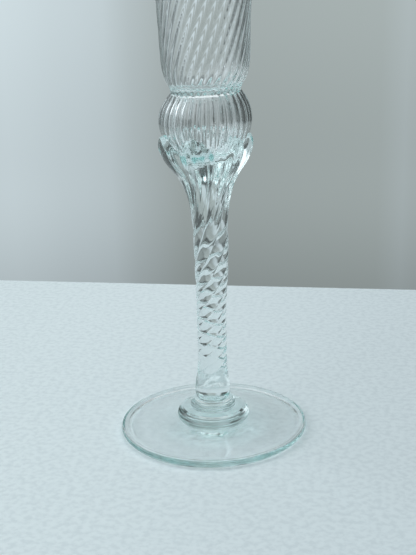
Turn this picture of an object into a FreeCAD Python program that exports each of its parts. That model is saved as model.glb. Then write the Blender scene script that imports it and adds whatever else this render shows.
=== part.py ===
import FreeCAD, Part

import math
import os

import Sketcher
from FreeCAD import Vector

# A champagne flute of clear blown glass: six pieces of glass, fused hot where their faces meet.
#
# Millimetres, +Z up, with the origin on the table at the centre of the foot. From the table up:
#   foot          a round foot with a thick rounded edge, slightly hollow underneath
#   lower_collar  a flattened button of glass on the foot
#   upper_collar  a smaller button on the lower one
#   stem          a solid stem whose six ribs twist and open at the top into a cup of six petals
#   knop          a hollow blown ball with upright ribs, whose bottom sits in the petals
#   bowl          a tall narrow thin-walled bowl, whose ribs swirl from the waist to near the rim
#
# The foot and the collars are revolved sketches. The other three have ribs that turn and change all
# the way up, so each is a B-spline skin laid over rings of poles, closed by flat faces.

PARTS_FOLDER = "parts"
DEGREE = 3

# Driving dimensions: alias, value and note. They are millimetres where the note says nothing else.
SIZES = (
    ("foot_radius", 37.5, "outside of the foot"),
    ("foot_edge_inset", 1.1, "from the outside in to where the edge's round starts"),
    ("foot_edge_height", 2.9, "height of the foot's edge"),
    ("foot_edge_round", 1.53, "radius of the edge's round"),
    ("standing_ring", 2.6, "width of the flat ring that the foot stands on, with its edge"),
    ("foot_hollow", 0.9, "rise of the underside at the centre"),
    ("hollow_flat", 9.0, "radius of the underside's flat middle"),
    ("hollow_round", 400.0, "radius of the underside's curve, from middle to ring"),
    ("hub_radius", 15.2, "flat top of the foot"),
    ("hub_height", 4.3, "height of the foot's flat top"),
    ("foot_top_round", 260.0, "radius of the foot's top, from edge to hub"),
    ("lower_collar_seat", 13.5, "radius of the lower collar's bottom face"),
    ("lower_collar_face", 11.8, "radius of its top face"),
    ("lower_collar_top", 9.2, "height of its top face"),
    ("lower_collar_round", 2.85, "radius of its side"),
    ("upper_collar_seat", 8.6, "radius of the upper collar's bottom face"),
    ("upper_collar_face", 6.6, "radius of its top face"),
    ("upper_collar_top", 13.0, "height of its top face"),
    ("upper_collar_round", 2.45, "radius of its side"),
    ("stem_ribs", 6, "number of ribs and of petals"),
    ("petal_turn", 12.0, "angle of the middle of one petal from +X, in degrees"),
    ("twist_start", 105.0, "height where the stem's ribs start to twist"),
    ("twist_end", 36.0, "height where they have melted away"),
    ("first_twist", 0.5, "twist at twist_start, in degrees a millimetre"),
    ("last_twist", 12.4, "twist at twist_end, in degrees a millimetre"),
    ("twist_gain", 2.2, "above 1 keeps the ribs upright for longer below the petals"),
    ("crease_power", 1.7, "how narrow the grooves are along the stem"),
    ("fold_power", 1.1, "how narrow they are between the petals, where they are wide folds"),
    ("fold_start", 80.0, "height where the creases start to open into folds"),
    ("fold_end", 104.0, "height where they have opened"),
    ("web_wall", 1.3, "thickness of the web that lies on the knop between two petals"),
    ("web_thinning", 3.2, "how much the web thins out over its top, which ends where nothing is left"),
    ("web_thin_start", 114.5, "height on the petals where the web starts to thin"),
    ("web_thin_end", 120.0, "height on the petals where it stops"),
    ("petal_drop", 6.0, "how far the web's top lies under the petals' tips"),
    ("drop_start", 102.0, "height where the folds start to sag"),
    ("drop_end", 122.0, "height where they sag by petal_drop"),
    ("cap_shrink", 0.55, "radius of the flat end of the stem's skin inside the knop, to that of its lip"),
    ("cap_height", 117.0, "height of that end, which the knop cuts away"),
    ("optic_ribs", 32, "number of ribs on the knop, and on the bowl"),
    ("knop_radius", 17.3, "outside of the knop"),
    ("knop_half_height", 16.05, "half of the height that the knop would have as a whole ball"),
    ("knop_height", 124.5, "height of its centre"),
    ("knop_wall", 1.5, "thickness of its wall"),
    ("knop_lid", 1.1, "thickness of its flat top, under the bowl"),
    ("knop_groove", 0.75, "depth of the grooves between its ribs"),
    ("knop_rib_start", 113.5, "height where its ribs start"),
    ("knop_rib_full", 117.5, "height where they are full"),
    ("waist_height", 135.2, "height of the face between knop and bowl"),
    ("waist_blend", 3.0, "length under the waist over which the knop's ribs become as low as the bowl's"),
    ("bowl_swirl", 1.36, "swirl of the bowl's ribs, in degrees a millimetre"),
    ("bowl_groove", 0.34, "depth of the grooves outside the bowl"),
    ("cavity_groove", 0.16, "depth of the grooves inside the bowl"),
    ("rim_fade", 16.0, "length under the rim over which the ribs melt away"),
    ("rim_height", 262.0, "height of the rim"),
    ("rim_wall", 1.4, "thickness of the bowl at the rim"),
    ("pole_flat", 0.4, "radius of the tiny flat at the bottom of the knop and of the bowl's cavity"),
)

# Stations of the stem's outline: name, height, radius over the ribs, depth of the grooves.
STEM_STATIONS = (
    ("stem_seat", 13.0, 5.7, 0.0),
    ("stem_heel", 13.7, 6.4, 0.0),
    ("stem_ball", 15.4, 6.85, 0.0),
    ("stem_bulb", 17.6, 6.95, 0.0),
    ("stem_ankle", 23.0, 6.2, 0.05),
    ("stem_shin", 30.0, 5.82, 0.25),
    ("stem_calf", 38.0, 5.9, 0.5),
    ("stem_knee", 48.0, 5.95, 0.7),
    ("stem_thigh", 62.0, 6.3, 0.9),
    ("stem_hip", 78.0, 6.75, 1.0),
    ("stem_waist", 90.0, 7.4, 1.3),
    ("stem_chest", 98.0, 9.1, 1.7),
    ("stem_arm", 104.0, 12.1, 3.2),
    ("petal_root", 108.2, 15.2, 4.8),
    ("petal_belly", 112.0, 17.3, 5.6),
    ("petal_side", 116.0, 18.4, 5.4),
    ("petal_tip", 118.6, 17.5, 4.4),
    ("petal_fold", 120.0, 15.6, 3.0),
    ("petal_lip", 120.5, 13.6, 1.8),
)
# Stations of the bowl's outside, from the waist up: name, height, radius.
BOWL_STATIONS = (
    ("bowl_waist", 135.2, 12.9),
    ("bowl_neck", 137.2, 13.35),
    ("bowl_heel", 139.4, 14.75),
    ("bowl_cheek", 142.4, 15.85),
    ("bowl_hip", 147.0, 16.45),
    ("bowl_side", 156.0, 16.8),
    ("bowl_low", 175.0, 17.6),
    ("bowl_middle", 205.0, 18.85),
    ("bowl_high", 235.0, 20.3),
    ("bowl_rim", 261.3, 21.9),
)
# Stations of the bowl's cavity, from the bottom up: name, height, radius.
CAVITY_STATIONS = (
    ("cavity_floor", 136.4, 0.4),
    ("cavity_dish", 136.4, 7.0),
    ("cavity_rise", 136.7, 10.4),
    ("cavity_heel", 137.8, 12.0),
    ("cavity_cheek", 139.8, 13.4),
    ("cavity_hip", 142.8, 14.5),
    ("cavity_side", 147.4, 15.15),
    ("cavity_low", 157.0, 15.55),
    ("cavity_belly", 176.0, 16.4),
    ("cavity_middle", 205.0, 17.5),
    ("cavity_high", 235.0, 18.95),
    ("cavity_rim", 261.3, 20.5),
)

STEM_POLES_A_RIB = 12
OPTIC_POLES_A_RIB = 6
BUBBLE_POLES = 48
STEM_ROWS = 110
CAP_ROWS = 4
KNOP_ROWS = 34
BOWL_ROWS = 60
CAVITY_ROWS = 60
RIM_ROWS = 5


# ---- the spreadsheet -------------------------------------------------------------------------------

def station_sizes(stations):
    """The spreadsheet rows of an outline's stations."""
    rows = []
    for name, height, radius, *groove in stations:
        rows.append((name + "_height", height, "height of a station of an outline"))
        rows.append((name + "_radius", radius, "radius there"))
        if groove:
            rows.append((name + "_groove", groove[0], "depth of the grooves there"))
    return rows


def make_sheet(doc):
    """The spreadsheet that drives the model: one size to a row, as name, value and note."""
    sheet = doc.addObject("Spreadsheet::Sheet", "Sizes")
    rows = list(SIZES)
    for stations in (STEM_STATIONS, BOWL_STATIONS, CAVITY_STATIONS):
        rows += station_sizes(stations)
    for number, (alias, value, note) in enumerate(rows, start=1):
        sheet.set(f"A{number}", alias)
        sheet.set(f"B{number}", str(value))
        sheet.set(f"C{number}", note)
        sheet.setAlias(f"B{number}", alias)
    doc.recompute()
    return sheet


def size(sheet, alias):
    """The value of one cell of the sheet."""
    return float(getattr(sheet, alias))


# ---- turned pieces: the foot and the collars -------------------------------------------------------

def place_value(sheet, place):
    """The value of a corner's place, which is 0 or aliases joined by minus signs."""
    if place == "0":
        return 0.0
    first, *rest = place.split(" - ")
    return size(sheet, first) - sum(size(sheet, alias) for alias in rest)


def cell_expression(place):
    """The same place as an expression that reads the sheet."""
    return " - ".join("Sizes." + alias for alias in place.split(" - "))


def origin_feature(body, role):
    """The body's own origin plane or axis with that role."""
    return next(feature for feature in body.Origin.OriginFeatures if feature.Role == role)


def round_side(start, end, radius):
    """An arc from start to end that bulges to the right of that direction."""
    along = end - start
    right = Vector(along.y, -along.x, 0).normalize()
    bulge = radius - math.sqrt(radius**2 - (along.Length / 2) ** 2)
    return Part.Arc(start, (start + end) / 2 + right * bulge, end)


def end_number(sketch, side, point):
    """1 or 2: which end of that side of the sketch lies on the point."""
    return min((1, 2), key=lambda end: (sketch.getPoint(side, end) - point).Length)


def fix_place(sketch, kind, side, end, place, value):
    """Hold one end of a side at its place along X or Y, on the sketch's own axis where that is 0."""
    if place == "0":
        axis = -2 if kind == "DistanceX" else -1
        sketch.addConstraint(Sketcher.Constraint("PointOnObject", side, end, axis))
        return
    index = sketch.addConstraint(Sketcher.Constraint(kind, -1, 1, side, end, value))
    sketch.setExpression(f"Constraints[{index}]", cell_expression(place))


def turned_piece(doc, sheet, label, corners, rounds):
    """A body turned about +Z from a section whose corners are (radius, height) places, anticlockwise.

    rounds gives the alias of a radius for each side that is an arc, by the side's number. All of them
    bulge outwards, but for a side whose number is negative, which bulges into the section.
    """
    body = doc.addObject("PartDesign::Body", label)
    body.Label = label
    sketch = body.newObject("Sketcher::SketchObject", label + "_section")
    sketch.AttachmentSupport = [(origin_feature(body, "XZ_Plane"), "")]
    sketch.MapMode = "FlatFace"
    points = [Vector(*[place_value(sheet, place) for place in corner], 0) for corner in corners]
    ends = points[1:] + points[:1]
    for side, (start, end) in enumerate(zip(points, ends)):
        if side in rounds:
            sketch.addGeometry(round_side(start, end, size(sheet, rounds[side])), False)
        elif -side in rounds:
            sketch.addGeometry(round_side(end, start, size(sheet, rounds[-side])), False)
        else:
            sketch.addGeometry(Part.LineSegment(start, end), False)
    for side, end in enumerate(ends):
        after = (side + 1) % len(corners)
        here = end_number(sketch, side, end)
        there = end_number(sketch, after, end)
        sketch.addConstraint(Sketcher.Constraint("Coincident", side, here, after, there))
    for side, (point, (radius, height)) in enumerate(zip(points, corners)):
        start = end_number(sketch, side, point)
        fix_place(sketch, "DistanceX", side, start, radius, point.x)
        fix_place(sketch, "DistanceY", side, start, height, point.y)
    for side, alias in rounds.items():
        index = sketch.addConstraint(Sketcher.Constraint("Radius", abs(side), size(sheet, alias)))
        sketch.setExpression(f"Constraints[{index}]", cell_expression(alias))
    turning = body.newObject("PartDesign::Revolution", label + "_turned")
    turning.Profile = sketch
    turning.ReferenceAxis = (origin_feature(body, "Z_Axis"), [""])
    turning.Angle = 360.0
    return body


def make_foot(doc, sheet):
    """The foot: hollow underneath, standing on a flat ring, with a rounded edge and a flat hub."""
    corners = (
        ("0", "hub_height"),
        ("0", "foot_hollow"),
        ("hollow_flat", "foot_hollow"),
        ("foot_radius - standing_ring", "0"),
        ("foot_radius - foot_edge_inset", "0"),
        ("foot_radius - foot_edge_inset", "foot_edge_height"),
        ("hub_radius", "hub_height"),
    )
    rounds = {-2: "hollow_round", 4: "foot_edge_round", -5: "foot_top_round"}
    return turned_piece(doc, sheet, "foot", corners, rounds)


def make_lower_collar(doc, sheet):
    """The wide button on the foot."""
    corners = (
        ("0", "hub_height"),
        ("lower_collar_seat", "hub_height"),
        ("lower_collar_face", "lower_collar_top"),
        ("0", "lower_collar_top"),
    )
    return turned_piece(doc, sheet, "lower_collar", corners, {1: "lower_collar_round"})


def make_upper_collar(doc, sheet):
    """The small button under the stem."""
    corners = (
        ("0", "lower_collar_top"),
        ("upper_collar_seat", "lower_collar_top"),
        ("upper_collar_face", "upper_collar_top"),
        ("0", "upper_collar_top"),
    )
    return turned_piece(doc, sheet, "upper_collar", corners, {1: "upper_collar_round"})


# ---- ribbed pieces: the stem, the knop and the bowl ------------------------------------------------

def smooth_step(low, high, value):
    """0 up to low, 1 from high on, and a smooth rise between them."""
    share = min(max((value - low) / (high - low), 0.0), 1.0)
    return share * share * (3.0 - 2.0 * share)


def outline_places(sheet, stations, count):
    """Evenly spaced places along the smooth curve through the stations, as (radius, groove, height)."""
    points = []
    for name, _, _, *groove in stations:
        depth = size(sheet, name + "_groove") if groove else 0.0
        points.append(Vector(size(sheet, name + "_radius"), depth, size(sheet, name + "_height")))
    curve = Part.BSplineCurve()
    curve.interpolate(points)
    return curve.discretize(Number=count)


def polar(radius, angle, height):
    """The place at that radius, angle in degrees and height."""
    return Vector(radius * math.cos(math.radians(angle)), radius * math.sin(math.radians(angle)), height)


def optic_ring(sheet, place, turn):
    """A closed ring of poles with the round ribs of the knop and bowl.

    place is (radius over the ribs, groove, height), and turn is the angle of the middle of one rib.
    """
    count = int(size(sheet, "optic_ribs")) * OPTIC_POLES_A_RIB
    ring = []
    for number in range(count):
        share = 0.5 - 0.5 * math.cos(2.0 * math.pi * number / OPTIC_POLES_A_RIB)
        ring.append(polar(place.x - place.y * share, turn + 360.0 * number / count, place.z))
    return ring


def skin_solid(rings):
    """The solid whose skin runs over the rings of poles and whose first and last rings are flat faces."""
    poles = [list(column) for column in zip(*rings)]
    around_knots = list(range(len(poles) + 1))
    along_knots = list(range(len(rings) - DEGREE + 1))
    around_mults = [1] * len(around_knots)
    along_mults = [DEGREE + 1] + [1] * (len(along_knots) - 2) + [DEGREE + 1]
    surface = Part.BSplineSurface()
    surface.buildFromPolesMultsKnots(
        poles, around_mults, along_mults, around_knots, along_knots, True, False, DEGREE, DEGREE
    )
    skin = surface.toShape()
    ends = [edge for edge in skin.Edges if edge.isClosed() and not edge.isSeam(skin)]
    faces = [skin] + [Part.Face(Part.Wire([edge])) for edge in ends]
    shell = Part.makeShell(faces)
    shell.sewShape()
    solid = Part.Solid(shell)
    if solid.Volume < 0:
        solid.reverse()
    return solid


def stem_turn(sheet, height):
    """Angle of a rib of the stem at that height: upright in the petals, and ever steeper below them."""
    drop = max(size(sheet, "twist_start") - height, 0.0)
    length = size(sheet, "twist_start") - size(sheet, "twist_end")
    first = size(sheet, "first_twist")
    power = size(sheet, "twist_gain")
    gain = (size(sheet, "last_twist") - first) / power * length
    return size(sheet, "petal_turn") - first * drop - gain * (drop / length) ** power


def knop_ball_radius(sheet, height):
    """Radius of the knop's ball over its ribs at that height, and 0 above or below the ball."""
    lift = (height - size(sheet, "knop_height")) / size(sheet, "knop_half_height")
    return size(sheet, "knop_radius") * math.sqrt(max(1.0 - lift**2, 0.0))


def stem_ring(sheet, place):
    """A closed ring of poles of the stem. place is (radius over the ribs, groove, height).

    The grooves are creases that open into folds and sag between the petals. There the skin is the
    fold's or that of the web on the knop, whichever is further out.
    """
    opened = smooth_step(size(sheet, "fold_start"), size(sheet, "fold_end"), place.z)
    power = size(sheet, "crease_power") * (1.0 - opened) + size(sheet, "fold_power") * opened
    sag = smooth_step(size(sheet, "drop_start"), size(sheet, "drop_end"), place.z)
    thin = smooth_step(size(sheet, "web_thin_start"), size(sheet, "web_thin_end"), place.z)
    wall = size(sheet, "web_wall") - size(sheet, "web_thinning") * thin
    count = int(size(sheet, "stem_ribs")) * STEM_POLES_A_RIB
    ring = []
    for number in range(count):
        share = (1.0 - abs(math.cos(math.pi * number / STEM_POLES_A_RIB))) ** power
        height = place.z - size(sheet, "petal_drop") * sag * share
        fold = place.x - max(place.y, 0.0) * share
        web = knop_ball_radius(sheet, height) + wall
        ring.append(polar(max(fold, web), stem_turn(sheet, height) + 360.0 * number / count, height))
    return ring


def closing_rings(sheet, ring):
    """Rings that draw the stem's wavy top ring in to a small flat one, all inside the knop's ball."""
    shrink = size(sheet, "cap_shrink")
    flat = [Vector(pole.x * shrink, pole.y * shrink, size(sheet, "cap_height")) for pole in ring]
    rings = []
    for number in range(1, CAP_ROWS + 1):
        share = number / CAP_ROWS
        rings.append([pole * (1.0 - share) + end * share for pole, end in zip(ring, flat)])
    return rings


def make_stem(doc, sheet, knop_outside):
    """The stem with its petals, cut to the knop that sits in them."""
    rings = [stem_ring(sheet, place) for place in outline_places(sheet, STEM_STATIONS, STEM_ROWS)]
    rings += closing_rings(sheet, rings[-1])
    stem = doc.addObject("Part::Feature", "stem")
    stem.Label = "stem"
    stem.Shape = skin_solid(rings).cut(knop_outside)
    return stem


def ball_places(sheet, inset, top):
    """Places up a ball that is the knop less inset all round, from its bottom to the height top."""
    radius = size(sheet, "knop_radius") - inset
    half_height = size(sheet, "knop_half_height") - inset
    low = -math.acos(size(sheet, "pole_flat") / radius)
    high = math.asin(min((top - size(sheet, "knop_height")) / half_height, math.sin(-low)))
    places = []
    for number in range(KNOP_ROWS):
        lift = low + (high - low) * number / (KNOP_ROWS - 1)
        height = size(sheet, "knop_height") + half_height * math.sin(lift)
        places.append(Vector(radius * math.cos(lift), 0.0, height))
    return places


def knop_outside_solid(sheet):
    """The knop's outside as a solid ball: smooth at the bottom, and ribbed from there to the waist."""
    waist = size(sheet, "waist_height")
    shallow = size(sheet, "bowl_groove")
    deep = size(sheet, "knop_groove")
    rings = []
    for place in ball_places(sheet, 0.0, waist):
        rise = smooth_step(size(sheet, "knop_rib_start"), size(sheet, "knop_rib_full"), place.z)
        below = smooth_step(waist, waist - size(sheet, "waist_blend"), place.z)
        place.y = rise * (shallow + (deep - shallow) * below)
        rings.append(optic_ring(sheet, place, size(sheet, "petal_turn")))
    return skin_solid(rings)


def make_knop(doc, sheet, knop_outside):
    """The blown knop, a sealed hollow ball."""
    top = size(sheet, "waist_height") - size(sheet, "knop_lid")
    rings = []
    for place in ball_places(sheet, size(sheet, "knop_wall"), top):
        angles = [360.0 * number / BUBBLE_POLES for number in range(BUBBLE_POLES)]
        rings.append([polar(place.x, angle, place.z) for angle in angles])
    knop = doc.addObject("Part::Feature", "knop")
    knop.Label = "knop"
    knop.Shape = knop_outside.cut(skin_solid(rings))
    return knop


def rib_share(sheet, height):
    """How full the bowl's ribs are at that height: full from the waist up, and none at the rim."""
    rim = size(sheet, "rim_height")
    return smooth_step(rim, rim - size(sheet, "rim_fade"), height)


def rim_places(sheet):
    """Places over the rounded rim, from the outside in."""
    round_radius = size(sheet, "rim_wall") / 2.0
    middle = (size(sheet, "bowl_rim_radius") + size(sheet, "cavity_rim_radius")) / 2.0
    base = size(sheet, "rim_height") - round_radius
    places = []
    for number in range(1, RIM_ROWS + 1):
        angle = math.pi * number / (RIM_ROWS + 1)
        radius = middle + round_radius * math.cos(angle)
        places.append(Vector(radius, 0.0, base + round_radius * math.sin(angle)))
    return places


def make_bowl(doc, sheet):
    """The bowl: one skin that runs up the outside, over the rim and down to the cavity's floor."""
    outside = outline_places(sheet, BOWL_STATIONS, BOWL_ROWS)
    inside = outline_places(sheet, CAVITY_STATIONS, CAVITY_ROWS)
    for place in outside:
        place.y = size(sheet, "bowl_groove") * rib_share(sheet, place.z)
    for place in inside:
        depth = size(sheet, "cavity_groove") * rib_share(sheet, place.z)
        depth *= smooth_step(0.0, size(sheet, "cavity_hip_radius"), place.x)
        place.x += depth
        place.y = depth
    rings = []
    for place in outside + rim_places(sheet) + inside[::-1]:
        swirl = size(sheet, "bowl_swirl") * (place.z - size(sheet, "waist_height"))
        rings.append(optic_ring(sheet, place, size(sheet, "petal_turn") + swirl))
    bowl = doc.addObject("Part::Feature", "bowl")
    bowl.Label = "bowl"
    bowl.Shape = skin_solid(rings)
    return bowl


# ---- the document ----------------------------------------------------------------------------------

def check(doc, pieces):
    """Stop if any object failed to compute, or if a piece isn't one valid solid."""
    failed = [item.Label for item in doc.Objects if {"Invalid", "Error"} & set(item.State)]
    if failed:
        raise RuntimeError(f"these objects failed: {failed}")
    for piece in pieces:
        shape = piece.Shape
        if shape.isNull() or not shape.isValid() or len(shape.Solids) != 1:
            raise RuntimeError(f"{piece.Label} is not one valid solid")


def main():
    doc = FreeCAD.newDocument("champagne_flute")
    sheet = make_sheet(doc)
    knop_outside = knop_outside_solid(sheet)
    pieces = [
        make_foot(doc, sheet),
        make_lower_collar(doc, sheet),
        make_upper_collar(doc, sheet),
        make_stem(doc, sheet, knop_outside),
        make_knop(doc, sheet, knop_outside),
        make_bowl(doc, sheet),
    ]
    for piece in pieces:
        piece.Placement = FreeCAD.Placement()
    doc.recompute()
    check(doc, pieces)
    os.makedirs(PARTS_FOLDER, exist_ok=True)
    for piece in pieces:
        piece.Shape.exportStep(os.path.join(PARTS_FOLDER, piece.Label + ".step"))
        box = piece.Shape.BoundBox
        print(f"{piece.Label:13} {piece.Shape.Volume:9.1f} mm3, z {box.ZMin:.2f} to {box.ZMax:.2f}")


main()
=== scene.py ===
import math

import bpy
import numpy as np
from mathutils import Euler, Matrix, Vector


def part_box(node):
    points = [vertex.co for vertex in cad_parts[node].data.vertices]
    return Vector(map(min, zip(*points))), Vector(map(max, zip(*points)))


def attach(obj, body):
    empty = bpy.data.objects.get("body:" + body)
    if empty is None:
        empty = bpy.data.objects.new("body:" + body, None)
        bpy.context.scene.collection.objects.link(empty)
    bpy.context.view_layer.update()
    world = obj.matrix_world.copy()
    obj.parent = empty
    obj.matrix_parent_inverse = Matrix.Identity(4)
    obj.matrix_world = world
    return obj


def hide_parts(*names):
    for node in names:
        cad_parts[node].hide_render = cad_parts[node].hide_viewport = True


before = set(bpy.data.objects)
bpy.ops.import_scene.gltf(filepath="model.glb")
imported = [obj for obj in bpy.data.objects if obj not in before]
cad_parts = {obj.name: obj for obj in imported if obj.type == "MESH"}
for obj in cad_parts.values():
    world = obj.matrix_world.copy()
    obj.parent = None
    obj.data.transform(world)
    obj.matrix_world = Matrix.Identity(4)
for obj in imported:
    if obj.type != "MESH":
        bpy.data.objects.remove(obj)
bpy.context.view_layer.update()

# The flute as closed skins of clear glass, one for each CAD node and one round the air in the knop.
# Outlines are in millimetres, with heights above the table, and become metres in the meshes.

MM = 0.001
TURN = 2.0 * math.pi
NODES = ("foot", "lower_collar", "upper_collar", "stem", "knop", "bowl")
NODE_BOXES = {name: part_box(name) for name in NODES}


def low(node):
    """The lowest height of a CAD node, in millimetres."""
    return NODE_BOXES[node][0][2] / MM


def high(node):
    """The greatest height of a CAD node, in millimetres."""
    return NODE_BOXES[node][1][2] / MM


# ---- sizes -----------------------------------------------------------------------------------------

HUB = low("lower_collar")
LOWER_TOP = low("upper_collar")
UPPER_TOP = low("stem")
WAIST = low("bowl")
RIM = high("bowl")

STEM_RIBS = 6
OPTIC_RIBS = 32
PETAL_TURN = 12.0
# How far a piece reaches into the next where they are fused.
OVERLAP = 0.01
# Radius of the smallest ring before a flat end closes.
POLE = 0.4

# Foot: its hollow underside, the flat ring that it stands on, and its bevelled and rounded edge.
FOOT_HOLLOW = 0.9
HOLLOW_FLAT = 9.0
RING_INSIDE = 34.9
RING_OUTSIDE = 36.05
FOOT_BEVEL = 0.9
FOOT_EDGE = 2.9
EDGE_ROUND = 1.15
HUB_RADIUS = 15.2
# Its top, from the edge to the hub, as radius and height: a low bead runs round just inside the edge.
FOOT_TOP = (
    (RING_OUTSIDE, FOOT_EDGE),
    (35.6, 3.1),
    (34.2, 2.72),
    (31.5, 2.6),
    (26.0, 2.85),
    (20.0, 3.5),
    (HUB_RADIUS, HUB + OVERLAP),
)

# Collars: radius of the bottom face and of the top face, and of the round flank between them.
LOWER_SEAT = 13.5
LOWER_FACE = 11.8
LOWER_ROUND = 2.85
UPPER_SEAT = 8.6
UPPER_FACE = 6.6
UPPER_ROUND = 2.45
# Fine rings run round each flank. They rise over the first part of its length.
RINGS = 5
RING_DEPTH = 0.2
RING_RISE = 0.15

STEM_SEAT = 5.7
WAIST_RADIUS = 12.9

# What a hand leaves. Sideways bows: reach, height and spread. The waist's tilt: slope and spread.
# Uneven radii: share of a millimetre, waves in a turn, turn in radians a millimetre, and start.
BOWS = ((0.55, 74.0, 24.0), (-0.55, 118.0, 13.0))
TILT = 0.035
TILT_SPREAD = 6.0
WOBBLES = ((0.09, 2.0, 0.11, 0.0), (0.07, 3.0, -0.17, 1.0))
WOBBLE_RADII = (0.5, 5.0)

# Stem: height, radius over the ribs, and depth of the grooves.
STEM_OUTLINE = (
    (UPPER_TOP, STEM_SEAT, 0.0),
    (13.7, 6.4, 0.0),
    (15.4, 6.85, 0.0),
    (17.6, 6.95, 0.0),
    (23.0, 6.2, 0.05),
    (30.0, 5.82, 0.25),
    (38.0, 5.9, 0.5),
    (48.0, 5.95, 0.7),
    (62.0, 6.3, 0.9),
    (78.0, 6.75, 1.0),
    (90.0, 7.4, 1.3),
    (98.0, 9.1, 1.7),
    (104.0, 12.1, 3.2),
    (108.2, 15.2, 4.8),
    (112.0, 17.2, 5.6),
    (116.0, 18.1, 5.4),
    (118.6, 17.4, 4.4),
    (120.0, 15.6, 3.0),
    (120.4, 13.6, 1.8),
)
TWIST_START = 105.0
TWIST_END = 36.0
FIRST_TWIST = 0.5
LAST_TWIST = 12.4
TWIST_GAIN = 2.2
# The grooves are narrow creases along the stem, and open out into deep folds between these heights.
FOLD_START = 80.0
FOLD_END = 104.0
CREASE_POWER = 1.7
FOLD_POWER = 1.1
# Fine streaks of this depth run along the folds, and fade out below the lip between these heights.
# Each is a share of the depth, waves to a rib, and a start in radians.
STREAK_DEPTH = 0.28
STREAK_END = (119.5, 114.0)
STREAKS = ((0.6, 3.0, 0.7), (0.4, 5.0, 2.0))
# The folds sag between the petals, by this much in all between these heights.
PETAL_DROP = 6.0
DROP_HEIGHTS = (102.0, 122.0)
# Between two petals a web of this thickness lies on the knop, and thins out between these heights.
WEB_WALL = 1.3
WEB_THINNING = 3.2
WEB_HEIGHTS = (114.5, 120.0)
# How softly a petal runs into the web, and how far up the knop from its bottom the lip may start.
WEB_BLEND = 0.04
LIP_CLEARANCE = 0.2

KNOP_RADIUS = 17.3
KNOP_HALF = 16.05
KNOP_HEIGHT = 124.5
KNOP_GROOVE = 0.75
KNOP_RIB_HEIGHTS = (113.5, 117.5)
# Where the knop's ribs become as low as the bowl's.
WAIST_BLEND = (WAIST - 0.1, WAIST - 3.0)
# The angle up the ball, from its middle, of the ring round its bottom.
BOTTOM_LIFT = -math.pi / 2.0 + 0.02
KNOP_WALL = 1.5
BUBBLE_LID = 1.1
BUBBLE_GROOVE = 0.2

# Bowl: height of the rim's round, then height and radius of the outside, and of the cavity.
RIM_ROUND = 0.7
BOWL_OUTLINE = (
    (WAIST, WAIST_RADIUS),
    (137.2, 13.35),
    (139.4, 14.75),
    (142.4, 15.85),
    (147.0, 16.45),
    (156.0, 16.8),
    (175.0, 17.6),
    (205.0, 18.85),
    (235.0, 20.3),
    (RIM - RIM_ROUND, 21.9),
)
CAVITY_OUTLINE = (
    (136.4, 0.4),
    (136.4, 7.0),
    (136.7, 10.4),
    (137.8, 12.0),
    (139.8, 13.4),
    (142.8, 14.5),
    (147.4, 15.15),
    (157.0, 15.55),
    (176.0, 16.4),
    (205.0, 17.5),
    (235.0, 18.95),
    (RIM - RIM_ROUND, 20.5),
)
# The bowl's ribs swirl by this angle, in degrees a millimetre. They fade in over the cavity's floor up to
# a radius, and out over a length under the rim.
BOWL_SWIRL = 1.36
BOWL_GROOVE = 0.34
CAVITY_GROOVE = 0.16
FLOOR_FADE = 14.0
RIM_FADE = 16.0


# ---- mesh tools ------------------------------------------------------------------------------------

def smooth_step(start, end, value):
    """0 up to start, 1 from end on, and a smooth rise between them, for numbers or arrays."""
    share = np.clip((value - start) / (end - start), 0.0, 1.0)
    return share * share * (3.0 - 2.0 * share)


def smooth_line(points, count):
    """Evenly spaced places on the natural cubic spline through points of any dimension."""
    points = np.array(points, float)
    number = len(points)
    knots = np.concatenate(([0.0], np.cumsum(np.linalg.norm(np.diff(points[:, :2], axis=0), axis=1))))
    gaps = np.diff(knots)
    slopes = np.diff(points, axis=0) / gaps[:, None]
    matrix = np.eye(number)
    change = np.zeros_like(points)
    for row in range(1, number - 1):
        matrix[row, row - 1 : row + 2] = (gaps[row - 1], 2.0 * (gaps[row - 1] + gaps[row]), gaps[row])
        change[row] = 6.0 * (slopes[row] - slopes[row - 1])
    bend = np.linalg.solve(matrix, change)
    at = np.linspace(0.0, knots[-1], count)
    span = np.clip(np.searchsorted(knots, at, side="right") - 1, 0, number - 2)
    gap = gaps[span][:, None]
    after = ((at - knots[span])[:, None]) / gap
    before = 1.0 - after
    curve = (before**3 - before) * bend[span] + (after**3 - after) * bend[span + 1]
    return before * points[span] + after * points[span + 1] + gap**2 / 6.0 * curve


def handmade(places):
    """The slight lean and tilt that a glass shaped by hand has, alike for every piece."""
    height = places[:, 2]
    bow = sum(reach * np.exp(-((height - middle) / spread) ** 2) for reach, middle, spread in BOWS)
    tilt = TILT * np.exp(-((height - WAIST) / TILT_SPREAD) ** 2)
    radius = np.hypot(places[:, 0], places[:, 1])
    angle = np.arctan2(places[:, 1], places[:, 0])
    wobble = sum(
        share * np.sin(waves * angle + turn * height + start) for share, waves, turn, start in WOBBLES
    )
    wobble *= smooth_step(*WOBBLE_RADII, radius) / np.maximum(radius, WOBBLE_RADII[0])
    moved = places.copy()
    moved[:, :2] += wobble[:, None] * places[:, :2]
    moved[:, 2] += tilt * places[:, 0]
    moved[:, 0] += bow
    return moved


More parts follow.
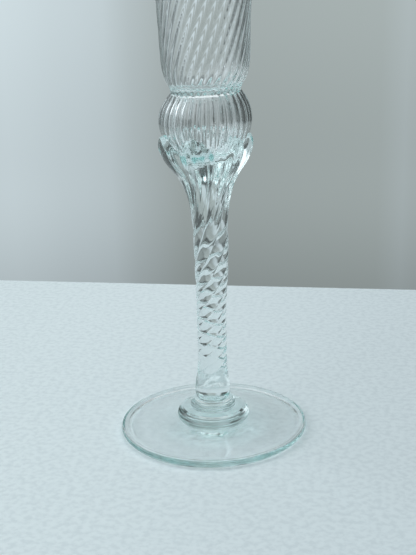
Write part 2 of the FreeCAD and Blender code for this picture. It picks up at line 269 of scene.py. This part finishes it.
def ring_skin(name, sections, material):
    """A closed skin over rings of places. sections is a list of (rings, fused), end to end.

    Each rings is an array (rows, columns, 3) in millimetres, and the last ring of one section is the
    first of the next. The ends are closed by a fan. fused says that the faces touch another piece.
    """
    rings = [sections[0][0][:1]]
    flags = []
    creases = []
    row = 0
    for places, fused in sections:
        rings.append(places[1:])
        flags += [fused] * (len(places) - 1)
        row += len(places) - 1
        creases.append(row)
    rings = np.concatenate(rings)
    rows, columns = rings.shape[:2]
    poles = np.array([rings[0].mean(axis=0), rings[-1].mean(axis=0)])
    places = handmade(np.concatenate((rings.reshape(-1, 3), poles))) * MM
    index = np.arange(rows * columns).reshape(rows, columns)
    after = np.roll(index, -1, axis=1)
    quads = np.stack((index[:-1], after[:-1], after[1:], index[1:]), axis=-1).reshape(-1, 4)
    bottom = np.stack((after[0], index[0], np.full(columns, rows * columns)), axis=-1)
    top = np.stack((index[-1], after[-1], np.full(columns, rows * columns + 1)), axis=-1)
    faces = quads.tolist() + bottom.tolist() + top.tolist()
    mesh = bpy.data.meshes.new(name)
    mesh.from_pydata(places.tolist(), [], faces)
    mesh.update()
    face_flags = np.repeat(np.array(flags, float), columns)
    ends = np.concatenate((np.full(columns, float(flags[0])), np.full(columns, float(flags[-1]))))
    layer = mesh.attributes.new("fused", "FLOAT", "FACE")
    layer.data.foreach_set("value", np.concatenate((face_flags, ends)))
    mesh.polygons.foreach_set("use_smooth", np.ones(len(mesh.polygons), bool))
    mark_creases(mesh, creases[:-1], columns)
    mesh.materials.append(material)
    piece = bpy.data.objects.new(name, mesh)
    bpy.context.scene.collection.objects.link(piece)
    return piece


def mark_creases(mesh, rows, columns):
    """Make the ring edges of those rows sharp."""
    ends = np.empty(len(mesh.edges) * 2, int)
    mesh.edges.foreach_get("vertices", ends)
    ends = ends.reshape(-1, 2)
    same_ring = (ends[:, 0] // columns) == (ends[:, 1] // columns)
    sharp = same_ring & np.isin(ends[:, 0] // columns, rows)
    mesh.attributes.new("sharp_edge", "BOOLEAN", "EDGE")
    mesh.attributes["sharp_edge"].data.foreach_set("value", sharp)


def polar(radius, angle, height):
    """Places from arrays of radius, angle and height."""
    radius, angle, height = np.broadcast_arrays(radius, angle, height)
    return np.stack((radius * np.cos(angle), radius * np.sin(angle), height), axis=-1)


def turned(outline, columns):
    """Rings about the axis from an array of (radius, height)."""
    angle = np.linspace(0.0, TURN, columns, endpoint=False)
    return polar(outline[:, :1], angle, outline[:, 1:])


def round_side(start, end, radius, count):
    """Places on the arc from start to end, as (radius, height), that bulges right of that direction."""
    start = np.array(start, float)
    end = np.array(end, float)
    along = end - start
    half = np.linalg.norm(along) / 2.0
    right = np.array((along[1], -along[0])) / (2.0 * half)
    reach = math.sqrt(radius**2 - half**2)
    centre = (start + end) / 2.0 - right * reach
    first = math.atan2(*(start - centre)[::-1])
    sweep = 2.0 * math.asin(half / radius)
    angle = first + np.linspace(0.0, sweep, count)
    return centre + radius * np.stack((np.cos(angle), np.sin(angle)), axis=-1)


def straight(start, end, count):
    """Evenly spaced places from start to end."""
    share = np.linspace(0.0, 1.0, count)[:, None]
    return np.array(start, float) * (1.0 - share) + np.array(end, float) * share


# ---- the glass -------------------------------------------------------------------------------------

def glass_material():
    """Clear blown glass with a faint cool tint in its depth, and soft ripples from the blowing."""
    material = bpy.data.materials.new("clear_glass")
    material.use_nodes = True
    nodes = material.node_tree.nodes
    links = material.node_tree.links
    nodes.clear()
    out = nodes.new("ShaderNodeOutputMaterial")
    shader = nodes.new("ShaderNodeBsdfPrincipled")
    shader.inputs["Base Color"].default_value = (1.0, 1.0, 1.0, 1.0)
    shader.inputs["Transmission Weight"].default_value = 1.0
    shader.inputs["Roughness"].default_value = 0.0
    links.new(shader.outputs["BSDF"], out.inputs["Surface"])
    fused = nodes.new("ShaderNodeAttribute")
    fused.attribute_name = "fused"
    index = nodes.new("ShaderNodeMapRange")
    index.inputs["To Min"].default_value = 1.52
    index.inputs["To Max"].default_value = 1.0
    links.new(fused.outputs["Fac"], index.inputs["Value"])
    links.new(index.outputs["Result"], shader.inputs["IOR"])
    place = nodes.new("ShaderNodeTexCoord")
    ripple = nodes.new("ShaderNodeTexNoise")
    ripple.inputs["Scale"].default_value = 120.0
    ripple.inputs["Detail"].default_value = 2.0
    links.new(place.outputs["Object"], ripple.inputs["Vector"])
    bump = nodes.new("ShaderNodeBump")
    bump.inputs["Strength"].default_value = 0.12
    bump.inputs["Distance"].default_value = 0.001
    links.new(ripple.outputs["Fac"], bump.inputs["Height"])
    links.new(bump.outputs["Normal"], shader.inputs["Normal"])
    depth = nodes.new("ShaderNodeVolumeAbsorption")
    depth.inputs["Color"].default_value = (0.50, 0.80, 0.78, 1.0)
    depth.inputs["Density"].default_value = 12.0
    links.new(depth.outputs["Volume"], out.inputs["Volume"])
    return material


def build(name, node, sections, material):
    """One piece of glass that stands for a CAD node."""
    piece = ring_skin(name, sections, material)
    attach(piece, "root")
    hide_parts(node)
    return piece


# ---- the turned pieces -----------------------------------------------------------------------------

FOOT_COLUMNS = 256
COLLAR_COLUMNS = 160


def make_foot(material):
    """The foot, from the middle of its underside out over the edge and in to the seat of the collar."""
    underside = straight((POLE, FOOT_HOLLOW), (HOLLOW_FLAT, FOOT_HOLLOW), 6)
    share = np.linspace(0.0, 1.0, 24)
    across = HOLLOW_FLAT + (RING_INSIDE - HOLLOW_FLAT) * share
    slope = np.stack((across, FOOT_HOLLOW * (1.0 - share**2)), axis=-1)
    ring = straight((RING_INSIDE, 0.0), (RING_OUTSIDE, 0.0), 4)
    bevel_top = (RING_OUTSIDE + FOOT_BEVEL, FOOT_BEVEL)
    bevel = straight((RING_OUTSIDE, 0.0), bevel_top, 4)
    edge = round_side(bevel_top, (RING_OUTSIDE, FOOT_EDGE), EDGE_ROUND, 20)
    top = smooth_line(FOOT_TOP, 60)
    hub = straight((HUB_RADIUS, HUB + OVERLAP), (LOWER_SEAT, HUB + OVERLAP), 4)
    free = np.concatenate((underside, slope[1:], ring[1:], bevel[1:], edge[1:], top[1:], hub[1:]))
    seat = straight((LOWER_SEAT, HUB + OVERLAP), (POLE, HUB + OVERLAP), 8)
    sections = [(turned(free, FOOT_COLUMNS), False), (turned(seat, FOOT_COLUMNS), True)]
    return build("foot_glass", "foot", sections, material)


def make_collar(name, node, bottom, top, seat, face, side, next_seat, material):
    """A button of glass between two heights. seat and face are its flat radii, and side its round.

    next_seat is the radius at which the next piece up sits on it.
    """
    under = straight((POLE, bottom - OVERLAP), (seat, bottom - OVERLAP), 8)
    flank = round_side((seat, bottom - OVERLAP), (face, top + OVERLAP), side, 40)
    around = np.linspace(0.0, 1.0, len(flank))
    rings = RING_DEPTH * (0.5 - 0.5 * np.cos(RINGS * TURN * around))
    flank[:, 0] -= rings * smooth_step(0.0, RING_RISE, around)
    ledge = straight((face, top + OVERLAP), (next_seat, top + OVERLAP), 5)
    cover = straight((next_seat, top + OVERLAP), (POLE, top + OVERLAP), 8)
    free = np.concatenate((flank, ledge[1:]))
    sections = [
        (turned(under, COLLAR_COLUMNS), True),
        (turned(free, COLLAR_COLUMNS), False),
        (turned(cover, COLLAR_COLUMNS), True),
    ]
    return build(name, node, sections, material)


# ---- the stem and the knop -------------------------------------------------------------------------

# Share of its radius at which a flat face at the waist closes.
LID_MIDDLE = 0.04
OPTIC_COLUMNS = OPTIC_RIBS * 12
STEM_COLUMNS = STEM_RIBS * 36
BUBBLE_COLUMNS = OPTIC_RIBS * 8


def optic_wave(angle):
    """0 on the fine ribs of the knop and bowl and 1 in their grooves, by the angle from one rib."""
    return 0.5 - 0.5 * np.cos(OPTIC_RIBS * angle)


def knop_radius(height, angle):
    """The knop's outside at a height and an angle, with its upright ribs."""
    ball = np.sqrt(np.clip(1.0 - ((height - KNOP_HEIGHT) / KNOP_HALF) ** 2, 0.0, 1.0)) * KNOP_RADIUS
    rise = smooth_step(*KNOP_RIB_HEIGHTS, height)
    groove = BOWL_GROOVE + (KNOP_GROOVE - BOWL_GROOVE) * smooth_step(*WAIST_BLEND, height)
    return ball - groove * rise * optic_wave(angle - math.radians(PETAL_TURN))


def stem_turn(height):
    """Angle of a rib of the stem at a height, in radians."""
    drop = np.clip(TWIST_START - height, 0.0, None)
    reach = TWIST_START - TWIST_END
    gain = (LAST_TWIST - FIRST_TWIST) / TWIST_GAIN * (drop / reach) ** TWIST_GAIN * reach
    return np.radians(PETAL_TURN - FIRST_TWIST * drop - gain)


def stem_columns(columns):
    """The stem's skin as columns: height, radius and angle of each place, as arrays (rows, columns).

    The fourth array gives the row at which each column meets the knop, where it is to be cut off.
    """
    line = smooth_line(STEM_OUTLINE, 3000)
    height, radius, groove = (line[:, number][:, None] for number in range(3))
    step = np.arange(columns) * TURN / columns
    opened = smooth_step(FOLD_START, FOLD_END, height)
    power = CREASE_POWER + (FOLD_POWER - CREASE_POWER) * opened
    share = (1.0 - np.abs(np.cos(STEM_RIBS * step / 2.0))) ** power
    streak = sum(part * np.sin(waves * STEM_RIBS * step + start) for part, waves, start in STREAKS)
    streaked = STREAK_DEPTH * opened * smooth_step(*STREAK_END, height)
    petal = radius - np.clip(groove, 0.0, None) * share
    wall = WEB_WALL - WEB_THINNING * smooth_step(*WEB_HEIGHTS, height)
    height = height - PETAL_DROP * smooth_step(*DROP_HEIGHTS, height) * share
    angle = stem_turn(height) + step
    web = knop_radius(height, angle) + wall
    skin = (petal + web + np.sqrt((petal - web) ** 2 + WEB_BLEND)) / 2.0 - (1.0 + streak) * streaked
    above = height > KNOP_HEIGHT - KNOP_HALF + LIP_CLEARANCE
    inside = (skin < knop_radius(height, angle)) & above
    first = np.argmax(inside, axis=0)
    return height, skin, angle, first


def resampled(values, first, rows):
    """Each column of values from its start up to its own row first, in the same number of rows."""
    at = np.linspace(0.0, 1.0, rows)[:, None] * first[None, :]
    whole = np.minimum(at.astype(int), len(values) - 2)
    part = at - whole
    values = np.broadcast_to(values, (len(values), len(first)))
    lower = np.take_along_axis(values, whole, axis=0)
    upper = np.take_along_axis(values, whole + 1, axis=0)
    return lower * (1.0 - part) + upper * part


def cup_lift(height):
    """The angle up the knop's ball, from its middle, of a height."""
    return np.arcsin(np.clip((height - KNOP_HEIGHT) / KNOP_HALF, -1.0, 1.0))


STEM_ROWS = 420


def make_stem(material):
    """The stem: its seat, its ribbed skin up to the petals' lip, and the cup that holds the knop."""
    height, skin, angle, first = stem_columns(STEM_COLUMNS)
    outer_height = resampled(height, first, STEM_ROWS)
    outer_radius = resampled(skin, first, STEM_ROWS)
    outer_angle = resampled(angle, first, STEM_ROWS)
    outer = polar(outer_radius, outer_angle, outer_height)
    lift = cup_lift(outer_height[-1])
    share = np.linspace(0.0, 1.0, 26)[:, None]
    lifts = lift * (1.0 - share) + BOTTOM_LIFT * share
    cup_height = KNOP_HEIGHT + KNOP_HALF * np.sin(lifts)
    cup_radius = knop_radius(cup_height, outer_angle[-1])
    shrink = 1.0 - OVERLAP / KNOP_RADIUS * smooth_step(0.0, 0.1, share)
    cup = polar(cup_radius * shrink, outer_angle[-1], KNOP_HEIGHT + (cup_height - KNOP_HEIGHT) * shrink)
    cup[0] = outer[-1]
    base = straight((POLE, UPPER_TOP - OVERLAP), (STEM_SEAT, UPPER_TOP - OVERLAP), 6)
    base_rings = polar(base[:, :1], outer_angle[:1], base[:, 1:2])
    outer[0] = base_rings[-1]
    return build("stem_glass", "stem", [(base_rings, True), (outer, False), (cup, True)], material)


def make_knop(material):
    """The knop: its seat in the stem's cup, its free side, its flat lid and the bubble inside."""
    height, skin, _, first = stem_columns(OPTIC_COLUMNS)
    step = math.radians(PETAL_TURN) + np.arange(OPTIC_COLUMNS) * TURN / OPTIC_COLUMNS
    meeting = np.take_along_axis(np.broadcast_to(height, skin.shape), first[None, :], axis=0)[0]
    contact = cup_lift(meeting)
    waist = cup_lift(np.full(OPTIC_COLUMNS, WAIST + OVERLAP))
    share = np.linspace(0.0, 1.0, 22)[:, None]
    seat_lift = BOTTOM_LIFT * (1.0 - share) + contact * share
    share = np.linspace(0.0, 1.0, 90)[:, None]
    free_lift = contact * (1.0 - share) + waist * share
    sections = []
    for lifts, fused in ((seat_lift, True), (free_lift, False)):
        heights = KNOP_HEIGHT + KNOP_HALF * np.sin(lifts)
        sections.append((polar(knop_radius(heights, step), step, heights), fused))
    rim = sections[-1][0][-1]
    lid = rim[None] * np.linspace(1.0, LID_MIDDLE, 6)[:, None, None]
    lid[..., 2] = WAIST + OVERLAP
    sections.append((lid, True))
    knop = build("knop_glass", "knop", sections, material)
    add_bubble(knop)
    return knop


def add_bubble(knop):
    """The air inside the knop: a skin that faces inwards, joined to the knop's mesh."""
    radius = KNOP_RADIUS - KNOP_WALL
    half = KNOP_HALF - KNOP_WALL
    top = math.asin((WAIST - BUBBLE_LID - KNOP_HEIGHT) / half)
    lift = np.linspace(top, BOTTOM_LIFT, 110)[:, None]
    height = KNOP_HEIGHT + half * np.sin(lift)
    step = np.arange(BUBBLE_COLUMNS) * TURN / BUBBLE_COLUMNS
    ribs = BUBBLE_GROOVE * smooth_step(*KNOP_RIB_HEIGHTS, height) * optic_wave(step)
    rings = polar(radius * np.cos(lift) - ribs, step + math.radians(PETAL_TURN), height)
    inner = ring_skin("knop_bubble", [(rings, False)], knop.data.materials[0])
    with bpy.context.temp_override(active_object=knop, selected_editable_objects=[knop, inner]):
        bpy.ops.object.join()


# ---- the bowl --------------------------------------------------------------------------------------

def rib_share(height):
    """How full the bowl's ribs are at a height."""
    return smooth_step(RIM, RIM - RIM_FADE, height)


def make_bowl(material):
    """The bowl: its flat seat on the knop, then up the outside, over the rim and down the cavity."""
    outside = smooth_line(BOWL_OUTLINE, 118)
    inside = smooth_line(CAVITY_OUTLINE, 108)[::-1]
    half_wall = (BOWL_OUTLINE[-1][1] - CAVITY_OUTLINE[-1][1]) / 2.0
    middle = (BOWL_OUTLINE[-1][1] + CAVITY_OUTLINE[-1][1]) / 2.0
    angle = np.linspace(0.0, math.pi, 11)[1:-1]
    rim_height = RIM - RIM_ROUND + RIM_ROUND * np.sin(angle)
    rim = np.stack((rim_height, middle + half_wall * np.cos(angle)), axis=-1)
    line = np.concatenate((outside, rim, inside))
    depth = np.zeros(len(line))
    depth[: len(outside)] = BOWL_GROOVE * rib_share(outside[:, 0])
    deep = CAVITY_GROOVE * rib_share(inside[:, 0]) * smooth_step(0.0, FLOOR_FADE, inside[:, 1])
    depth[-len(inside) :] = deep
    radius = line[:, 1].copy()
    radius[-len(inside) :] += deep
    step = np.arange(OPTIC_COLUMNS) * TURN / OPTIC_COLUMNS
    turn = np.radians(PETAL_TURN + BOWL_SWIRL * (line[:, 0] - WAIST))
    angles = turn[:, None] + step
    rings = polar(radius[:, None] - depth[:, None] * optic_wave(step), angles, line[:, :1])
    base = rings[0][None] * np.linspace(LID_MIDDLE, 1.0, 6)[:, None, None]
    base[..., 2] = WAIST - OVERLAP
    rings[0] = base[-1]
    return build("bowl_glass", "bowl", [(base, True), (rings, False)], material)


# ---- the stage -------------------------------------------------------------------------------------

# The table top, in metres: its size, the distance of its back edge, its gap under the foot, its turn.
TABLE_DEPTH, TABLE_WIDTH, TABLE_THICK = 1.6, 2.4, 0.03
TABLE_BACK = 0.183
TABLE_GAP = 0.0001
TABLE_TURN = -8.6
# How far from the glass it starts and stops turning a little duller, and its colour there: painted shade,
# a falloff of light away from the glass painted into the table's colour.
PALE_REACH = (0.24, 0.45)
FAR_TABLE_SHADE = (0.58, 0.63, 0.64, 1.0)
# How far to the right its near part starts and stops dimming, away from the window, and by how much:
# painted shade in the table's colour.
SHADE_REACH = (-0.10, 0.12)
SHADE = (0.87, 0.87, 0.88, 1.0)
# The walls round the glass, by direction: angle from straight behind it, in degrees, with the window's
# side negative; brightness; and how much of it has the curtains' tint, and not the wall's.
WALL_TINT = (0.865, 0.99, 0.985)
CURTAIN_TINT = (0.855, 0.99, 1.04)
WALLS = (
    (-180.0, 0.34, 0.0),
    (-125.0, 0.34, 0.0),
    (-104.0, 0.60, 1.0),
    (-46.0, 0.62, 1.0),
    (-37.0, 0.10, 0.0),
    (-20.0, 0.12, 0.0),
    (-15.5, 0.66, 1.0),
    (-12.0, 0.74, 1.0),
    (-6.5, 0.66, 1.0),
    (-3.4, 0.52, 0.6),
    (-2.0, 0.43, 0.0),
    (9.5, 0.45, 0.0),
    (11.5, 0.50, 0.5),
    (14.0, 0.40, 0.0),
    (20.0, 0.09, 0.0),
    (70.0, 0.08, 0.0),
    (115.0, 0.34, 0.0),
)
# How the walls dim with height: the upward share of the direction, and the brightness there.
WALL_HEIGHTS = ((-0.4, 0.5), (-0.2, 0.85), (0.0, 1.0), (0.2, 0.9), (0.5, 0.5), (0.84, 0.3))
# The window: the bearings and the upward shares where it fades in and out, and its light.
WINDOW_BEARINGS = (-160.0, -130.0, -58.0, -42.0)
WINDOW_HEIGHTS = (0.18, 0.32, 0.80, 0.92)
WINDOW_LIGHT = (1.62, 1.76, 1.85, 1.0)
# Pale things low down at both sides, below the knop as the camera sees it: the bearings to either side
# and the upward shares where they fade in and out, and their light.
SIDE_BEARINGS = (13.0, 22.0, 60.0, 95.0)
SIDE_HEIGHTS = (-0.62, -0.5, -0.205, -0.165)
SIDE_LIGHT = (0.23, 0.265, 0.265, 1.0)
# The ceiling: the upward shares where it fades in, and its light.
CEILING_HEIGHTS = (0.50, 0.85)
CEILING_LIGHT = (0.86, 0.93, 0.955, 1.0)


def node_with(nodes, kind, **settings):
    """A new node with the given attributes."""
    node = nodes.new(kind)
    for name, value in settings.items():
        setattr(node, name, value)
    return node


def ramp_node(nodes, stops):
    """A colour ramp with smooth steps between (position, colour) stops."""
    node = nodes.new("ShaderNodeValToRGB")
    node.color_ramp.interpolation = "EASE"
    elements = node.color_ramp.elements
    for number, (position, colour) in enumerate(stops):
        element = elements[number] if number < 2 else elements.new(position)
        element.position = position
        element.color = (*colour, 1.0)
    return node


def spread(nodes, links, value, low_end, high_end, smooth=False):
    """A value mapped from the range low_end to high_end onto 0 to 1."""
    steps = "SMOOTHSTEP" if smooth else "LINEAR"
    node = node_with(nodes, "ShaderNodeMapRange", interpolation_type=steps)
    node.inputs["From Min"].default_value = low_end
    node.inputs["From Max"].default_value = high_end
    links.new(value, node.inputs["Value"])
    return node.outputs["Result"]


def product(nodes, links, first, second):
    """Two numbers multiplied."""
    node = node_with(nodes, "ShaderNodeMath", operation="MULTIPLY")
    links.new(first, node.inputs[0])
    links.new(second, node.inputs[1])
    return node.outputs["Value"]


def band(nodes, links, value, edges):
    """1 between the middle two edges, 0 outside the outer two, and smooth between."""
    rise = spread(nodes, links, value, edges[0], edges[1], True)
    fall = spread(nodes, links, value, edges[3], edges[2], True)
    return product(nodes, links, rise, fall)


def mixed(nodes, links, kind, share, first, second):
    """Two colours mixed by a share, each a socket or a plain colour."""
    node = node_with(nodes, "ShaderNodeMix", data_type="RGBA", blend_type=kind)
    for name, value in (("Factor", share), ("A", first), ("B", second)):
        socket = node.inputs[name]
        if isinstance(value, bpy.types.NodeSocket):
            links.new(value, socket)
        else:
            socket.default_value = value
    return node.outputs["Result"]


def table_material():
    """A matt painted table top, mottled and pale, with painted shade that makes it a little duller to the
    right, away from the window, and far from the glass.
    """
    material = bpy.data.materials.new("pale_table")
    material.use_nodes = True
    nodes = material.node_tree.nodes
    links = material.node_tree.links
    shader = nodes["Principled BSDF"]
    shader.inputs["Roughness"].default_value = 0.8
    place = nodes.new("ShaderNodeTexCoord")
    mottle = nodes.new("ShaderNodeTexNoise")
    mottle.inputs["Scale"].default_value = 420.0
    mottle.inputs["Detail"].default_value = 4.0
    links.new(place.outputs["Object"], mottle.inputs["Vector"])
    paint = ramp_node(nodes, ((0.32, (0.76, 0.83, 0.845)), (0.62, (0.85, 0.92, 0.93))))
    links.new(mottle.outputs["Fac"], paint.inputs["Fac"])
    reach = node_with(nodes, "ShaderNodeVectorMath", operation="LENGTH")
    links.new(place.outputs["Object"], reach.inputs[0])
    # Painted shade: the colour turns duller away from the glass, a painted falloff of light.
    far = spread(nodes, links, reach.outputs["Value"], *PALE_REACH, True)
    parts = nodes.new("ShaderNodeSeparateXYZ")
    links.new(place.outputs["Object"], parts.inputs["Vector"])
    # Painted shade: the near table dims to the right, away from the window.
    away = spread(nodes, links, parts.outputs["X"], *SHADE_REACH, True)
    near = mixed(nodes, links, "MULTIPLY", away, paint.outputs["Color"], SHADE)
    colour = mixed(nodes, links, "MIX", far, near, FAR_TABLE_SHADE)
    links.new(colour, shader.inputs["Base Color"])
    return material


def make_floor():
    """A plain pale table top whose back edge is a little way behind the glass."""
    mesh = bpy.data.meshes.new("floor")
    left, right = -TABLE_WIDTH / 2.0, TABLE_WIDTH / 2.0
    front, back = TABLE_BACK - TABLE_DEPTH, TABLE_BACK
    corners = ((left, front), (right, front), (right, back), (left, back))
    places = [(x, y, z) for z in (-TABLE_GAP - TABLE_THICK, -TABLE_GAP) for x, y in corners]
    faces = [(3, 2, 1, 0), (4, 5, 6, 7), (0, 1, 5, 4), (1, 2, 6, 5), (2, 3, 7, 6), (3, 0, 4, 7)]
    mesh.from_pydata(places, [], faces)
    floor = bpy.data.objects.new("floor", mesh)
    bpy.context.scene.collection.objects.link(floor)
    mesh.materials.append(table_material())
    floor.rotation_euler.z = math.radians(TABLE_TURN)


def make_world():
    """A pale room: a tall bright window to the left, curtains behind, and dim corners beside them."""
    world = bpy.data.worlds.new("room")
    bpy.context.scene.world = world
    world.use_nodes = True
    nodes = world.node_tree.nodes
    links = world.node_tree.links
    nodes.clear()
    out = nodes.new("ShaderNodeOutputWorld")
    background = nodes.new("ShaderNodeBackground")
    links.new(background.outputs["Background"], out.inputs["Surface"])
    direction = nodes.new("ShaderNodeTexCoord")
    parts = nodes.new("ShaderNodeSeparateXYZ")
    links.new(direction.outputs["Generated"], parts.inputs["Vector"])
    upward = parts.outputs["Z"]
    bearing = node_with(nodes, "ShaderNodeMath", operation="ARCTAN2")
    links.new(parts.outputs["X"], bearing.inputs[0])
    links.new(parts.outputs["Y"], bearing.inputs[1])
    bearing = bearing.outputs["Value"]
    wall_stops = []
    for angle, bright, cool in WALLS:
        tint = [wall + (curtain - wall) * cool for wall, curtain in zip(WALL_TINT, CURTAIN_TINT)]
        wall_stops.append(((angle + 180.0) / 360.0, [channel * bright for channel in tint]))
    walls = ramp_node(nodes, wall_stops)
    links.new(spread(nodes, links, bearing, -math.pi, math.pi), walls.inputs["Fac"])
    heights = ramp_node(nodes, [((rise + 1.0) / 2.0, [bright] * 3) for rise, bright in WALL_HEIGHTS])
    links.new(spread(nodes, links, upward, -1.0, 1.0), heights.inputs["Fac"])
    room = mixed(nodes, links, "MULTIPLY", 1.0, walls.outputs["Color"], heights.outputs["Color"])
    ceiling = spread(nodes, links, upward, *CEILING_HEIGHTS, True)
    room = mixed(nodes, links, "MIX", ceiling, room, CEILING_LIGHT)
    across = band(nodes, links, bearing, [math.radians(edge) for edge in WINDOW_BEARINGS])
    up = band(nodes, links, upward, WINDOW_HEIGHTS)
    window = product(nodes, links, across, up)
    room = mixed(nodes, links, "MIX", window, room, WINDOW_LIGHT)
    aside = node_with(nodes, "ShaderNodeMath", operation="ABSOLUTE")
    links.new(bearing, aside.inputs[0])
    across = band(nodes, links, aside.outputs["Value"], [math.radians(edge) for edge in SIDE_BEARINGS])
    sides = product(nodes, links, across, band(nodes, links, upward, SIDE_HEIGHTS))
    room = mixed(nodes, links, "MIX", sides, room, SIDE_LIGHT)
    links.new(room, background.inputs["Color"])


# The camera: its place in metres, its angles in degrees, and its lens in millimetres.
CAMERA_DISTANCE = 0.371
CAMERA_HEIGHT = 0.181
CAMERA_PITCH = 17.6
CAMERA_YAW = 0.14
CAMERA_ROLL = -1.4
CAMERA_LENS = 64.86


def make_camera():
    """The camera: level with the bowl, looking down at the foot, and slightly rolled."""
    data = bpy.data.cameras.new("camera")
    data.sensor_width = 36.0
    data.lens = CAMERA_LENS
    data.clip_start = 0.01
    camera = bpy.data.objects.new("camera", data)
    bpy.context.scene.collection.objects.link(camera)
    turn = Euler((math.radians(90.0 - CAMERA_PITCH), 0.0, math.radians(CAMERA_YAW)), "XYZ")
    aim = turn.to_matrix().to_4x4() @ Matrix.Rotation(math.radians(CAMERA_ROLL), 4, "Z")
    camera.matrix_world = Matrix.Translation((0.0, -CAMERA_DISTANCE, CAMERA_HEIGHT)) @ aim
    bpy.context.scene.camera = camera


# Light passes many skins of glass, and is cut off after this many.
BOUNCES = 128


def main():
    """Make the camera, the flute, the table and the room, and set how light is followed in glass."""
    make_camera()
    glass = glass_material()
    make_foot(glass)
    lower = (HUB, LOWER_TOP, LOWER_SEAT, LOWER_FACE, LOWER_ROUND, UPPER_SEAT)
    make_collar("lower_collar_glass", "lower_collar", *lower, glass)
    upper = (LOWER_TOP, UPPER_TOP, UPPER_SEAT, UPPER_FACE, UPPER_ROUND, STEM_SEAT)
    make_collar("upper_collar_glass", "upper_collar", *upper, glass)
    make_stem(glass)
    make_knop(glass)
    make_bowl(glass)
    make_floor()
    make_world()
    scene = bpy.context.scene
    scene.cycles.max_bounces = BOUNCES
    scene.cycles.transmission_bounces = BOUNCES
    scene.cycles.glossy_bounces = BOUNCES
    scene.cycles.transparent_max_bounces = 16
    scene.cycles.use_denoising = True
    scene.cycles.blur_glossy = 0.0
    scene.view_settings.view_transform = "Standard"


main()
